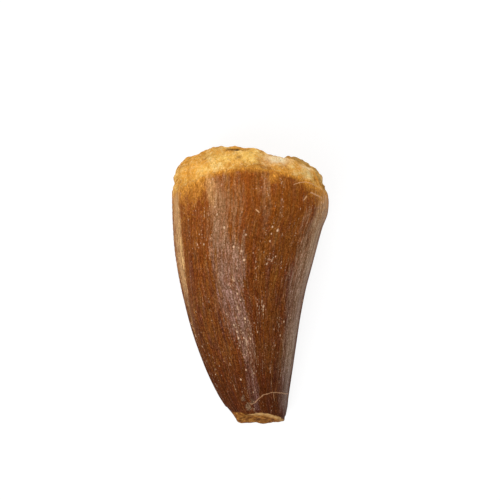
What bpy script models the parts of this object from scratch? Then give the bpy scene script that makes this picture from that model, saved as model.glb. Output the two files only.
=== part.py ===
"""Fossil mosasaur tooth: one broken crown lying on its flatter side, as one solid.

Run with blender --background --python part.py. The model is in metres and +Z is up. +Y runs from the
broken tip to the broken base, and +X is on the right of someone who looks down on the tooth with its
base away from them. The origin is on the resting plane, under the middle of the tooth.

The solid starts as a UV sphere. A vertex's latitude becomes its place along the profile, from the middle
of the broken base, over the rim, down the crown and round to the middle of the broken tip. Its longitude
becomes its place around the section.
"""

import math

import bmesh
import bpy
from mathutils import Vector, noise

MM = 0.001

# Lines around the section, and steps along the profile: over the base, down the crown, round the tip.
LINES = 80
BASE_STEPS = 16
CROWN_STEPS = 31
TIP_STEPS = 9
STEPS = BASE_STEPS + CROWN_STEPS + TIP_STEPS
LINE_SPACING = 360.0 / LINES
# The rings on the two broken faces draw in towards the middle by this power.
DRAW_IN = 1.3

# The crown's outline, seen from above: (station along the tooth, edge), in millimetres.
# Stations run from the tip at -21 to the base at +21.
LEFT_EDGE = (
    (-21.5, -1.7),
    (-20.1, -2.5),
    (-18.8, -3.35),
    (-15.8, -4.95),
    (-12.8, -6.3),
    (-8.3, -7.9),
    (-3.8, -9.15),
    (0.8, -10.2),
    (5.3, -10.9),
    (9.8, -11.2),
    (14.2, -11.3),
)
RIGHT_EDGE = (
    (-21.5, 5.5),
    (-19.0, 5.7),
    (-17.3, 5.7),
    (-11.3, 6.55),
    (-5.3, 7.4),
    (-0.8, 8.25),
    (2.3, 9.1),
    (5.3, 9.9),
    (8.6, 10.8),
    (10.8, 11.6),
    (14.2, 11.8),
)
# The crown's height over the resting plane, seen from the side: (station, height), in millimetres.
# Its underside dips just below the plane at both ends, and is rubbed flat there.
TOP = ((-21.5, 7.0), (-18.0, 8.7), (-12.0, 12.0), (-5.0, 14.8), (2.0, 17.0), (9.0, 18.5), (14.2, 19.1))
UNDERSIDE = (
    (-21.5, -0.25),
    (-17.5, -0.05),
    (-12.0, 0.35),
    (-4.0, 0.6),
    (3.0, 0.35),
    (8.0, -0.05),
    (14.2, -0.3),
)
# The widest line lies this share of the way up the section.
WIDEST = 0.44
# A section is half of one superellipse over half of another. 2 is an ellipse, and more is squarer.
UPPER_POWER = 2.1
LOWER_POWER = 2.5

# The two cutting ridges run down the section's left and right lines. Each stands this high, in
# millimetres, and falls away over this many degrees.
RIDGE_HEIGHT = 0.38
RIDGE_FALL = 5.0
# A steep strip of enamel lies above the left ridge. It narrows towards both ends, where its upper edge
# turns down around the section: (station, degrees). Lines within its reach turn with it.
STRIP_EDGE = 153.0
STRIP_TURN = ((-21.5, 13.0), (-8.0, 11.0), (-2.0, 5.0), (4.0, 1.0), (9.0, 3.0), (14.2, 7.0))
STRIP_REACH = 27.0
# Towards the tip, the facet over the middle turns to the right.
BAND_MIDDLE = 103.5
BAND_TURN = ((-21.5, -12.0), (-12.0, -11.0), (-4.0, -7.0), (2.0, 0.0), (14.2, 0.0))
BAND_REACH = 45.0
# The right ridge lies a little below the widest line.
RIGHT_RIDGE_TURN = ((-21.5, -3.0), (14.2, -5.0))
RIGHT_RIDGE_REACH = 60.0
# The edges of the facets that run the length of the enamel, in degrees around the section. The facets are
# this share of the way from round to flat.
FACET_EDGES = (0.0, 22.5, 40.5, 63.0, 90.0, 117.0, 153.0, 180.0, 207.0, 234.0, 261.0, 288.0, 315.0, 337.5)
FACET_FLATNESS = 0.55
# The ridges and facets fade out between these stations at the base, and at the worn tip.
FADE_AT_BASE = (16.0, 12.5)
FADE_AT_TIP = (-21.0, -17.0)

# The broken base is a lumpy, flat-topped dome over the shoulder of the crown. It is squarer to the left,
# and steps down on both sides: (where a step starts across the tooth, where it ends, millimetres down).
SHOULDER = 13.0
DOME_HEIGHT = 7.95
DOME_POWER = 3.0
DOME_POWER_TO_LEFT = 0.6
DOME_STEPS = ((0.4, 2.6, 0.8), (-5.0, -6.6, 0.5), (6.0, 8.5, 0.45))
# Coarse lumps of the bone, as (size, height) in millimetres.
BONE_LUMPS = ((5.5, 0.6), (2.4, 0.45))
# The enamel ends in an arch on each face, and the change to bone takes this many millimetres.
MARGIN_AT_RIDGES = 13.6
MARGIN_ON_UPPER_FACE = 17.1
MARGIN_ON_LOWER_FACE = 16.2
MARGIN_POWER = 2.2
MARGIN_FADE = 1.2
# The shallow dish of the filled pulp cavity, in the middle of the broken base.
PULP_DEPTH = 1.1
PULP_SHARE = 0.56
PULP_FLOOR = 0.4

# The broken tip: the stations where the enamel ends at the left, top, right and bottom.
TIP_LEFT = -20.9
TIP_TOP = -18.9
TIP_RIGHT = -20.6
TIP_BOTTOM = -21.2
TIP_MIDDLE = -20.3
TIP_BULGE = 0.6
TIP_POWER = 4.0
# Small lumps of the broken tip, as (size, height) in millimetres. They grow from its edge over this share
# of the way to its middle.
TIP_LUMPS = ((2.6, 0.35), (1.2, 0.15))
TIP_FADE = 0.3

ENAMEL_BROWN = (0.23, 0.085, 0.025, 1.0)
ENAMEL_ROUGHNESS = 0.38


def curve_through(points):
    """A smooth curve through (station, value) points, level with its end values outside them."""
    stations = [station for station, _ in points]
    values = [value for _, value in points]
    last = len(points) - 1
    slopes = []
    for i in range(last + 1):
        before, after = max(i - 1, 0), min(i + 1, last)
        slopes.append((values[after] - values[before]) / (stations[after] - stations[before]))

    def value_at(station):
        if station <= stations[0]:
            return values[0]
        if station >= stations[last]:
            return values[last]
        i = next(k for k in range(last) if station <= stations[k + 1])
        step = stations[i + 1] - stations[i]
        t = (station - stations[i]) / step
        rise = t * t * (3 - 2 * t)
        start_pull = t * (1 - t) ** 2 * step * slopes[i]
        end_pull = t * t * (t - 1) * step * slopes[i + 1]
        return values[i] + (values[i + 1] - values[i]) * rise + start_pull + end_pull

    return value_at


left_edge = curve_through(LEFT_EDGE)
right_edge = curve_through(RIGHT_EDGE)
top_height = curve_through(TOP)
underside_height = curve_through(UNDERSIDE)
strip_turn = curve_through(STRIP_TURN)
band_turn = curve_through(BAND_TURN)
right_ridge_turn = curve_through(RIGHT_RIDGE_TURN)


def smooth_step(low, high, value):
    t = min(max((value - low) / (high - low), 0.0), 1.0)
    return t * t * (3 - 2 * t)


def degrees_apart(one, other):
    """The signed difference of two angles, from -180 to 180."""
    return (one - other + 180.0) % 360.0 - 180.0


def signed_power(value, power):
    return math.copysign(abs(value) ** power, value)


def section_angle(line, station):
    """The angle around the section of a line, which isn't quite the line's own."""
    angle = line
    turned_lines = (
        (STRIP_EDGE, strip_turn(station), STRIP_REACH),
        (BAND_MIDDLE, band_turn(station), BAND_REACH),
        (0.0, right_ridge_turn(station), RIGHT_RIDGE_REACH),
    )
    for centre, turn, reach in turned_lines:
        apart = degrees_apart(line, centre)
        if abs(apart) < reach:
            angle += turn * (0.5 + 0.5 * math.cos(math.pi * apart / reach))
    return math.radians(angle)


def facet_cut(line):
    """The share of the section's radius that the facets take off it at this line."""
    start = max(edge for edge in FACET_EDGES if edge <= line)
    end = min(edge for edge in FACET_EDGES + (360.0,) if edge > line)
    middle, half = (start + end) / 2, (end - start) / 2
    flat_radius = math.cos(math.radians(half)) / math.cos(math.radians(line - middle))
    return FACET_FLATNESS * (1 - flat_radius)


def ridge_height(line):
    """Height of the two cutting ridges at this line, in millimetres."""
    height = 0.0
    for ridge_line in (0.0, 180.0):
        height += RIDGE_HEIGHT * math.exp(-abs(degrees_apart(line, ridge_line)) / RIDGE_FALL)
    return height


def section_point(line, station):
    """(x, z) of the crown's surface at this line and station, in millimetres."""
    left, right = left_edge(station), right_edge(station)
    top, bottom = top_height(station), underside_height(station)
    middle, half_width = (left + right) / 2, (right - left) / 2
    widest = bottom + WIDEST * (top - bottom)
    angle = section_angle(line, station)
    across, up = math.cos(angle), math.sin(angle)
    power, half_height = (UPPER_POWER, top - widest) if up > 0 else (LOWER_POWER, widest - bottom)
    x = half_width * signed_power(across, 2 / power)
    z = half_height * signed_power(up, 2 / power)
    worn = smooth_step(*FADE_AT_BASE, station) * smooth_step(*FADE_AT_TIP, station)
    raised = 1 + worn * (ridge_height(line) / math.hypot(x, z) - facet_cut(line))
    return middle + x * raised, widest + z * raised


def middle_of_section(station):
    """(x, z) of the middle of the section, in millimetres."""
    x = (left_edge(station) + right_edge(station)) / 2
    return x, (top_height(station) + underside_height(station)) / 2


def dome(turn, power):
    """(share of the way out, share of the way up) on a superellipse, from its top at 0 to its foot at 1."""
    angle = turn**DRAW_IN * math.pi / 2
    return math.sin(angle) ** (2 / power), math.cos(angle) ** (2 / power)


def base_point(line, turn):
    """A point on the broken base, from its middle at turn 0 to the crown's shoulder at turn 1."""
    out, up = dome(turn, DOME_POWER - DOME_POWER_TO_LEFT * math.cos(math.radians(line)))
    rim_x, rim_z = section_point(line, SHOULDER)
    middle_x, middle_z = middle_of_section(SHOULDER)
    x = middle_x + out * (rim_x - middle_x)
    height = DOME_HEIGHT - sum(down * smooth_step(start, end, x) for start, end, down in DOME_STEPS)
    dish = PULP_DEPTH * smooth_step(PULP_SHARE, PULP_FLOOR, out)
    return x, SHOULDER + height * up - dish, middle_z + out * (rim_z - middle_z)


def enamel_end(line):
    """The station where the enamel ends at the broken tip, on this line."""
    angle = math.radians(line)
    across, up = math.cos(angle), math.sin(angle)
    side = TIP_RIGHT if across > 0 else TIP_LEFT
    face = TIP_TOP if up > 0 else TIP_BOTTOM
    return side * across * across + face * up * up


def tip_point(line, turn):
    """A point on the broken tip, from its middle at turn 0 to the enamel's end at turn 1."""
    out, up = dome(turn, TIP_POWER)
    station = TIP_MIDDLE + (enamel_end(line) - TIP_MIDDLE) * out - TIP_BULGE * up
    rim_x, rim_z = section_point(line, station)
    middle_x, middle_z = middle_of_section(station)
    return middle_x + out * (rim_x - middle_x), station, middle_z + out * (rim_z - middle_z)


def surface_point(line, step):
    """The smooth surface at this line and step, from the middle of the base to that of the tip."""
    if step < BASE_STEPS:
        return Vector(base_point(line, step / BASE_STEPS))
    if step > BASE_STEPS + CROWN_STEPS:
        return Vector(tip_point(line, (STEPS - step) / TIP_STEPS))
    station = SHOULDER + (enamel_end(line) - SHOULDER) * (step - BASE_STEPS) / CROWN_STEPS
    x, z = section_point(line, station)
    return Vector((x, station, z))


def bone_share(line, station):
    """0 on enamel, 1 on the bone of the broken base."""
    up = math.sin(math.radians(line))
    on_face = MARGIN_ON_UPPER_FACE if up > 0 else MARGIN_ON_LOWER_FACE
    margin = MARGIN_AT_RIDGES + (on_face - MARGIN_AT_RIDGES) * abs(up) ** MARGIN_POWER
    return smooth_step(margin - MARGIN_FADE, margin + MARGIN_FADE, station)


def lumps(point, sizes_and_heights):
    return sum(height * noise.noise(point / size) for size, height in sizes_and_heights)


def roughness_at(line, step, point):
    """How far the broken surfaces stand off the smooth form here, in millimetres."""
    past_enamel = (step - BASE_STEPS - CROWN_STEPS) / TIP_STEPS
    height = smooth_step(0.0, TIP_FADE, past_enamel) * lumps(point, TIP_LUMPS)
    return height + bone_share(line, point.y) * lumps(point, BONE_LUMPS)


def shape_tooth(mesh):
    """Moves a unit sphere's vertices to the tooth's surface, in metres."""
    shape = bmesh.new()
    bmesh.ops.create_uvsphere(shape, u_segments=LINES, v_segments=STEPS, radius=1.0)
    lines_and_steps = []
    for vertex in shape.verts:
        angle = math.degrees(math.atan2(vertex.co.y, -vertex.co.x))
        line = round(angle / LINE_SPACING) * LINE_SPACING % 360.0
        step = round(math.acos(max(-1.0, min(1.0, vertex.co.z))) / math.pi * STEPS)
        lines_and_steps.append((line, step))
        vertex.co = surface_point(line, step)
    shape.normal_update()
    for (line, step), vertex in zip(lines_and_steps, shape.verts):
        place = vertex.co + vertex.normal * roughness_at(line, step, vertex.co)
        vertex.co = (place.x, place.y, max(place.z, 0.0))
    bmesh.ops.scale(shape, vec=(MM, MM, MM), verts=shape.verts)
    shape.to_mesh(mesh)
    shape.free()


def centre_on_floor(mesh):
    """Puts the middle of the mesh's length and width over the origin."""
    xs = [vertex.co.x for vertex in mesh.vertices]
    ys = [vertex.co.y for vertex in mesh.vertices]
    shift = Vector((-(min(xs) + max(xs)) / 2, -(min(ys) + max(ys)) / 2, 0.0))
    for vertex in mesh.vertices:
        vertex.co += shift


def enamel_material():
    material = bpy.data.materials.new("fossil_enamel")
    material.use_nodes = True
    shader = material.node_tree.nodes["Principled BSDF"]
    shader.inputs["Base Color"].default_value = ENAMEL_BROWN
    shader.inputs["Roughness"].default_value = ENAMEL_ROUGHNESS
    shader.inputs["Metallic"].default_value = 0.0
    return material


def main():
    for old in list(bpy.data.objects):
        bpy.data.objects.remove(old)
    parts = bpy.data.collections.new("mosasaur_tooth")
    bpy.context.scene.collection.children.link(parts)
    mesh = bpy.data.meshes.new("tooth")
    shape_tooth(mesh)
    centre_on_floor(mesh)
    mesh.shade_smooth()
    mesh.materials.append(enamel_material())
    parts.objects.link(bpy.data.objects.new("tooth", mesh))


main()
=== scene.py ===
"""The looks of the fossil mosasaur tooth: its fine relief, its materials, the studio and the camera.

The surface has the values of the plain solid, in millimetres, on a finer grid. A line runs the length of the
tooth, and is named by its turn around the section in degrees: 0 along the right edge, 90 on top, 180 along
the left edge and 270 underneath. A station is a place along the length. Steps go from the middle of the
broken base to that of the broken tip.
"""

import math

import bpy
import numpy as np
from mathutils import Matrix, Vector, noise


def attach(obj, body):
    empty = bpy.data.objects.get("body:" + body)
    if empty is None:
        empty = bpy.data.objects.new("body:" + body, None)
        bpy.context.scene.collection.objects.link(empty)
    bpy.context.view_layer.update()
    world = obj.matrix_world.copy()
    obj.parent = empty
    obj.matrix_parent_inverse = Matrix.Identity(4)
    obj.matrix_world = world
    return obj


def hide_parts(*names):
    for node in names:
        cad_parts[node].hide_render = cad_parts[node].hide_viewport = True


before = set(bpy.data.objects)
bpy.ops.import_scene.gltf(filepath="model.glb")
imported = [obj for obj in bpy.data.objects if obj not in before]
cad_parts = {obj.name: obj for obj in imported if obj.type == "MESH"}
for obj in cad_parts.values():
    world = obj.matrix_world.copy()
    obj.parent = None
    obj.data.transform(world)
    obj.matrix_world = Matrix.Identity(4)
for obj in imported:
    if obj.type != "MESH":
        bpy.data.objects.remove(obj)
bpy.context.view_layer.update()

MM = 0.001

# The grid of the fine surface.
LINES = 400
BASE_STEPS = 66
CROWN_STEPS = 142
TIP_STEPS = 26
STEPS = BASE_STEPS + CROWN_STEPS + TIP_STEPS
# The surface laid out flat, for baking: the sides as a band, and below it the ends as discs (x, y, radius).
FLAT_BASE_STEPS = 42
BAND_FOOT = 0.365
BASE_DISC = (0.18, 0.18, 0.175)
TIP_DISC = (0.5, 0.125, 0.12)

# The form, as in the plain solid: (station along the tooth, value), in millimetres.
LEFT_EDGE = (
    (-21.5, -1.7), (-20.1, -2.5), (-18.8, -3.35), (-15.8, -4.95), (-12.8, -6.3), (-8.3, -7.9),
    (-3.8, -9.15), (0.8, -10.2), (5.3, -10.9), (9.8, -11.2), (14.2, -11.3),
)
RIGHT_EDGE = (
    (-21.5, 5.5), (-19.0, 5.7), (-17.3, 5.7), (-11.3, 6.55), (-5.3, 7.4), (-0.8, 8.25), (2.3, 9.1),
    (5.3, 9.9), (8.6, 10.8), (10.8, 11.6), (14.2, 11.8),
)
TOP = ((-21.5, 7.0), (-18.0, 8.7), (-12.0, 12.0), (-5.0, 14.8), (2.0, 17.0), (9.0, 18.5), (14.2, 19.1))
UNDERSIDE = (
    (-21.5, -0.25), (-17.5, -0.05), (-12.0, 0.35), (-4.0, 0.6), (3.0, 0.35), (8.0, -0.05), (14.2, -0.3),
)
WIDEST = 0.44
UPPER_POWER = 2.1
LOWER_POWER = 2.5
RIDGE_HEIGHT = 0.38
RIDGE_FALL = 5.0
STRIP_EDGE = 153.0
# Lines that turn away from their even places: (line, how far to each side others turn too, its turns).
TURNED_LINES = (
    (STRIP_EDGE, 27.0, ((-21.5, 13.0), (-8.0, 11.0), (-2.0, 5.0), (4.0, 1.0), (9.0, 3.0), (14.2, 7.0))),
    (103.5, 45.0, ((-21.5, -12.0), (-12.0, -11.0), (-4.0, -7.0), (2.0, 0.0), (14.2, 0.0))),
    (0.0, 60.0, ((-21.5, -3.0), (14.2, -5.0))),
)
FACET_EDGES = (0.0, 22.5, 40.5, 63.0, 90.0, 117.0, 153.0, 180.0, 207.0, 234.0, 261.0, 288.0, 315.0, 337.5)
FACET_FLATNESS = 0.55
FADE_AT_BASE = (16.0, 12.5)
FADE_AT_TIP = (-21.0, -17.0)
SHOULDER = 13.0
DOME_HEIGHT = 7.95
DOME_POWER = 3.0
DOME_POWER_TO_LEFT = 0.6
DOME_STEPS = ((0.4, 2.6, 0.8), (-5.0, -6.6, 0.5), (6.0, 8.5, 0.45))
BONE_LUMPS = ((5.5, 0.6), (2.4, 0.45))
MARGIN_AT_RIDGES = 13.6
MARGIN_ON_UPPER_FACE = 17.1
MARGIN_ON_LOWER_FACE = 16.2
MARGIN_POWER = 2.2
MARGIN_FADE = 1.2
PULP_DEPTH = 1.1
PULP_SHARE = 0.56
PULP_FLOOR = 0.4
# Where the sides end at the tip, and where the enamel's colour does: on the left, top, right and underneath.
TIP_END = (-20.9, -18.9, -20.6, -21.2)
WORN_END = (-18.9, -18.95, -20.3, -20.4)
TIP_MIDDLE = -20.3
TIP_BULGE = 0.6
TIP_POWER = 4.0
TIP_LUMPS = ((2.6, 0.35), (1.2, 0.15))
TIP_FADE = 0.3
DRAW_IN = 1.3
# Where the solid's centring moved the form, in millimetres.
CENTRING = (-0.206, 0.485)

# Relief that the plain solid leaves out, as (size, height) in millimetres.
SAND_LUMPS = ((1.3, 0.26), (0.65, 0.16))
TIP_GRAIN = ((0.7, 0.1),)
STRIAE = ((1.1, 0.035), (0.5, 0.02))
# How far the sandy crust lies below the plain solid between its lumps.
CRUST_WORN = 0.12
# How far the broken tip lies below the enamel's worn edge, and the half width of the slope between them.
ENAMEL_STEP = 0.12
WORN_FADE = 0.1
# The facets' edges are rounded by an average over these turns, in degrees.
FACET_ROUNDING = (-3.0, -1.0, 1.0, 3.0)
# Noise on the enamel is drawn out lengthwise by this much, around a cylinder of this radius, and shortened
# again for shorter marks.
DRAWN_OUT = 9.0
ROUND_RADIUS = 9.0
SHORTENED = {"short": 4.0, "dashes": 6.0, "squat": 8.0}

# Faint notches along the left ridge: their spacing and depth, their reach in degrees, the stations where
# they start and are full, and their unevenness as (mean, swing by noise, size of the noise).
NOTCH_SPACING = 0.8
NOTCH_DEPTH = 0.07
NOTCH_REACH = 3.0
NOTCH_START = (-8.0, 6.0)
NOTCH_UNEVENNESS = (0.65, 0.7, 1.7)

# A dark slit and a small knob on the bone, as places (across, along, up) and sizes, in millimetres.
SLIT_AT = (-2.3, 20.25)
SLIT_HALF_SIZE = (1.45, 0.22)
SLIT_ABOVE = 10.0
SLIT_DEPTH = 0.35
KNOB_AT = (11.6, 14.8, 8.5)
KNOB_RADIUS = 0.4
KNOB_HEIGHT = 0.4
# How much paler the bone is for each millimetre that it stands out, and rings across the broken tip.
# That paleness is painted light on the bone's lumps and painted shade in the hollows between them.
RELIEF_PAINTED_SHADE = 0.3
TIP_RINGS = 8.0

# Fine pale lines on the upper face, each as points (across, along) and half its width, in millimetres: a
# crack with its branch near the tip, an arc by the margin and three short scratches.
CRACK = (
    (6.0, -16.8), (5.0, -16.4), (4.1, -16.2), (3.4, -16.15), (2.9, -16.35), (2.2, -16.45), (1.7, -16.9),
    (1.1, -17.4), (0.8, -17.85), (0.4, -17.9), (0.1, -17.75),
)
ENAMEL_ARC = ((6.4, 14.7), (7.3, 15.0), (8.2, 15.15), (9.4, 14.8), (10.7, 14.4), (11.35, 14.0))
FINE_LINES = (
    (CRACK, 0.065),
    (ENAMEL_ARC, 0.045),
    (((9.0, 13.6), (9.7, 13.4), (10.7, 12.95)), 0.1),
    (((8.05, 12.5), (8.4, 13.15)), 0.08),
    (((1.0, 11.05), (1.5, 10.6)), 0.08),
)
BRANCH_LINES = ((((3.65, -16.2), (3.8, -17.5)), 0.03),)
# How far from a line it can still show, and the gap that is stored where no line is near.
LINE_REACH = (0.45, 0.27)
NO_LINE_GAP = 9.0

# Borders of the upper face's painted sheen and of the pale strips along its edges, as (station, line).
MIDDLE_SHEEN_RIGHT_BORDER = (
    (-17.4, 95.0), (-15.0, 87.0), (-12.0, 90.5), (-9.0, 87.0), (-6.0, 90.0), (-2.2, 93.8), (2.9, 88.8),
    (10.2, 91.8), (16.0, 92.8),
)
MIDDLE_SHEEN_LEFT_BORDER = (
    (-16.6, 107.0), (-8.1, 108.5), (-5.9, 115.0), (-3.4, 118.5), (2.2, 117.0), (16.0, 124.0),
)
# The right strip is painted sheen, a reflection of the floor along the right edge.
RIGHT_SHEEN_BORDER = (
    (-16.1, 44.0), (-9.8, 46.0), (-2.3, 49.0), (4.0, 48.0), (7.0, 48.0), (10.0, 46.0), (13.0, 36.0),
)
# The left strip: worn enamel with a painted highlight along the left edge.
LEFT_WEAR_AND_HIGHLIGHT_BORDER = ((-8.5, 173.0), (-5.4, 165.0), (-2.3, 154.0), (1.4, 150.0), (14.0, 150.0))

# Tones, each a product of soft limits: (what is measured, where the tone starts, where it is full). Lines
# and turns are in degrees, the rest in millimetres or shares. Borders are those of the tables above.
TONES = {
    # The middle sheen and its parts are a painted reflection of the key light, laid into the colour.
    "middle_sheen": (("left_of_right_border", -3.0, 3.0), ("left_of_left_border", 9.0, -9.0)),
    "middle_sheen_thin": (("station", 5.0, 9.0), ("line", 112.0, 101.0)),
    "middle_sheen_top": (("station", 12.5, 16.0),),
    "second_middle_sheen": (("station", 8.0, 11.0),),
    "underside_sheen": (("line", 246.0, 256.0), ("line", 286.0, 272.0)),
    # The left strip: worn enamel with a painted highlight.
    "left_wear_and_highlight": (("past_left_wear_and_highlight", -1.0, 4.0), ("line", 190.0, 168.0)),
    "left_wear_and_highlight_middle": (("station", -11.0, -6.0),),
    "left_wear_and_highlight_top": (("station", -4.0, 4.0),),
    # A painted highlight line along the inner edge of the left strip.
    "left_highlight_line": (("station", -3.0, 5.0), ("station", 13.0, 9.0)),
    # The right strip: painted sheen, a reflection of the floor.
    "right_sheen": (("across_right_sheen", 1.25, 0.45), ("turn", -8.0, 14.0), ("station", -20.2, -17.2)),
    "right_sheen_top": (("station", 4.0, 9.0),),
    # Painted shade along both ridges: the right one all along, the left one towards the tip.
    "right_ridge": (("from_right_ridge", 5.0, 2.0),),
    "left_ridge": (("from_left_ridge", 5.0, 2.0), ("station", 1.0, -5.0)),
    # Where the painted light and shade of the sides fall.
    "right_side": (("line", 118.0, 84.0),),
    "left_low": (("line", 118.0, 150.0), ("station", 1.0, -13.0)),
    "cream": (
        ("past_worn_end", -0.5, -0.15), ("past_worn_end", 0.15, 0.0), ("across", -0.6, 0.3),
        ("out", 0.6, 0.75), ("line", 2.0, 26.0), ("line", 180.0, 150.0),
    ),
    # Painted shade on the bone's steep right side.
    "steep_crust_painted_shade": (("flatness", 0.3, 0.05), ("across_form", 3.5, 6.0), ("turn", -12.0, 12.0)),
}
# Tones that are weaker in a part, with the share that they lose there.
LOSSES = (("middle_sheen", "middle_sheen_thin", 0.45), ("middle_sheen", "middle_sheen_top", 0.4), ("right_sheen", "right_sheen_top", 0.12))
# How full other parts get, and two soft lines as (line, half width).
SECOND_SHEEN = (79.5, 5.0)
SECOND_SHEEN_SHARE = 0.55
UNDERSIDE_SHEEN_SHARE = 0.7
LEFT_WEAR_AND_HIGHLIGHT_SHARES = (0.55, 0.45)
# The left soft line is a painted highlight by the left strip.
LEFT_HIGHLIGHT_LINE = (STRIP_EDGE + 3.0, 2.2)
# The golden stain fades from this far above the margin, over this length, and over more towards the sides:
# (lines where that starts and is full, how much more).
GOLDEN_RAISED = 0.4
GOLDEN_LEAST_REACH = 0.45
GOLDEN_SIDES = (((116.0, 132.0), 2.3), ((55.0, 30.0), 2.2))

# Soft patches on the upper face: (across, along, half width, half length, strength), in millimetres. They
# are clusters of flecks, chips near the tip, three tones of bone, and tan stain by the margin.
PATCHES = {
    "flecked": (
        (-1.3, 4.0, 1.3, 3.5, 0.5), (-2.0, 0.5, 1.0, 2.5, 0.8), (-1.6, -4.5, 1.0, 3.5, 1.3),
        (-0.3, -8.6, 1.0, 2.8, 1.5), (0.7, -11.2, 0.7, 2.2, 1.3), (-0.3, -15.8, 0.9, 1.2, 0.6),
        (3.5, 7.1, 1.2, 1.5, 0.5), (2.9, 4.1, 0.8, 0.8, 1.4), (4.2, 3.2, 0.8, 0.8, 1.2),
        (2.0, -3.0, 0.7, 1.4, 1.4), (5.2, -7.0, 1.0, 2.5, 0.7), (-5.2, 8.5, 2.2, 5.0, 0.35),
        (-8.2, -8.0, 0.8, 2.0, 0.6), (-6.9, -11.8, 0.8, 1.6, 0.7), (-5.3, -14.6, 0.7, 1.4, 0.7),
        (-4.0, -16.9, 0.6, 1.0, 0.6),
    ),
    "chipped": ((-0.1, -18.4, 0.6, 0.8, 1.0), (-0.9, -17.2, 0.6, 0.8, 0.72), (0.5, -17.5, 0.5, 0.6, 0.7)),
    "whitish": (
        (4.4, 18.9, 1.7, 0.9, 1.0), (8.6, 17.6, 1.0, 0.7, 0.9), (-9.6, 14.3, 0.8, 0.4, 0.4),
        (11.0, 16.5, 0.5, 0.9, 1.0),
    ),
    "yellow": ((-3.6, 18.8, 1.7, 0.9, 1.0), (0.0, 19.3, 1.6, 1.2, 1.0), (-6.6, 17.0, 1.5, 0.8, 0.6)),
    "orange": ((-8.6, 17.3, 1.6, 2.2, 1.0), (6.4, 16.6, 1.4, 0.7, 0.7), (-10.3, 14.6, 1.0, 1.0, 0.7)),
    "tanned": ((-5.6, 14.2, 1.1, 2.8, 0.7), (-8.0, 15.2, 1.2, 1.2, 0.35)),
}
# Patches that join a wider tone: browned bone, and golden stain on the enamel.
BROWNED = ((7.8, 18.2, 1.2, 0.5, 0.7), (11.6, 15.6, 0.3, 0.9, 0.6), (8.6, 16.4, 1.6, 0.6, 0.5))
GOLDEN = ((3.6, 16.2, 1.0, 1.4, 0.8), (9.6, 13.8, 1.4, 1.8, 0.5), (-8.6, 13.4, 1.6, 2.0, 0.4))
# A patch lies at the height of the highest point within this share of its middle.
PATCH_MIDDLE = 0.2


def curve(points, station):
    """Values at these stations on a smooth curve through (station, value) points, level outside them."""
    knots, values = np.array(points).T
    slopes = np.empty_like(values)
    slopes[1:-1] = (values[2:] - values[:-2]) / (knots[2:] - knots[:-2])
    slopes[0] = (values[1] - values[0]) / (knots[1] - knots[0])
    slopes[-1] = (values[-1] - values[-2]) / (knots[-1] - knots[-2])
    station = np.clip(station, knots[0], knots[-1])
    i = np.clip(np.searchsorted(knots, station) - 1, 0, len(knots) - 2)
    step = knots[i + 1] - knots[i]
    t = (station - knots[i]) / step
    rise = t * t * (3 - 2 * t)
    start_pull = t * (1 - t) ** 2 * step * slopes[i]
    end_pull = t * t * (t - 1) * step * slopes[i + 1]
    return values[i] + (values[i + 1] - values[i]) * rise + start_pull + end_pull


def smooth_step(low, high, value):
    t = np.clip((value - low) / (high - low), 0.0, 1.0)
    return t * t * (3 - 2 * t)


def hump(middle, half_width, value):
    """1 in the middle of a soft hump, 0 well away from it."""
    return np.exp(-(((value - middle) / half_width) ** 2))


def degrees_apart(one, other):
    return (one - other + 180.0) % 360.0 - 180.0


def signed_power(value, power):
    return np.copysign(np.abs(value) ** power, value)


def section_angle(line, station):
    angle = line.copy()
    for centre, reach, turn in TURNED_LINES:
        apart = degrees_apart(line, centre)
        near = 0.5 + 0.5 * np.cos(math.pi * apart / reach)
        angle += np.where(np.abs(apart) < reach, curve(turn, station) * near, 0.0)
    return np.radians(angle)


def facet_cut(line):
    """The share of the section's radius that the flat facets take off it at this line."""
    edges = np.array(FACET_EDGES + (360.0,))
    i = np.clip(np.searchsorted(edges, line, side="right") - 1, 0, len(FACET_EDGES) - 1)
    middle, half = (edges[i] + edges[i + 1]) / 2, (edges[i + 1] - edges[i]) / 2
    return FACET_FLATNESS * (1 - np.cos(np.radians(half)) / np.cos(np.radians(line - middle)))


def ridge_height(line):
    """Height of the two cutting ridges at this line, in millimetres."""
    return sum(
        RIDGE_HEIGHT * np.exp(-np.abs(degrees_apart(line, ridge_line)) / RIDGE_FALL)
        for ridge_line in (0.0, 180.0)
    )


def middle_of_section(station):
    x = (curve(LEFT_EDGE, station) + curve(RIGHT_EDGE, station)) / 2
    return x, (curve(TOP, station) + curve(UNDERSIDE, station)) / 2


def section_point(line, station):
    left, right = curve(LEFT_EDGE, station), curve(RIGHT_EDGE, station)
    top, bottom = curve(TOP, station), curve(UNDERSIDE, station)
    half_width = (right - left) / 2
    widest = bottom + WIDEST * (top - bottom)
    angle = section_angle(line, station)
    across, up = np.cos(angle), np.sin(angle)
    power = np.where(up > 0, UPPER_POWER, LOWER_POWER)
    half_height = np.where(up > 0, top - widest, widest - bottom)
    x = half_width * signed_power(across, 2 / power)
    z = half_height * signed_power(up, 2 / power)
    worn = smooth_step(*FADE_AT_BASE, station) * smooth_step(*FADE_AT_TIP, station)
    cut = sum(facet_cut((line + turn) % 360.0) for turn in FACET_ROUNDING) / len(FACET_ROUNDING)
    raised = 1 + worn * (ridge_height(line) / np.hypot(x, z) - cut)
    return (left + right) / 2 + x * raised, widest + z * raised


def dome(turn, power):
    angle = turn**DRAW_IN * math.pi / 2
    return np.sin(angle) ** (2 / power), np.maximum(np.cos(angle), 0.0) ** (2 / power)


def around_end(line, left, top, right, bottom):
    """The station of a slanting end on this line, from its stations on the four sides."""
    across, up = np.cos(np.radians(line)), np.sin(np.radians(line))
    return np.where(across > 0, right, left) * across**2 + np.where(up > 0, top, bottom) * up**2


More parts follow.
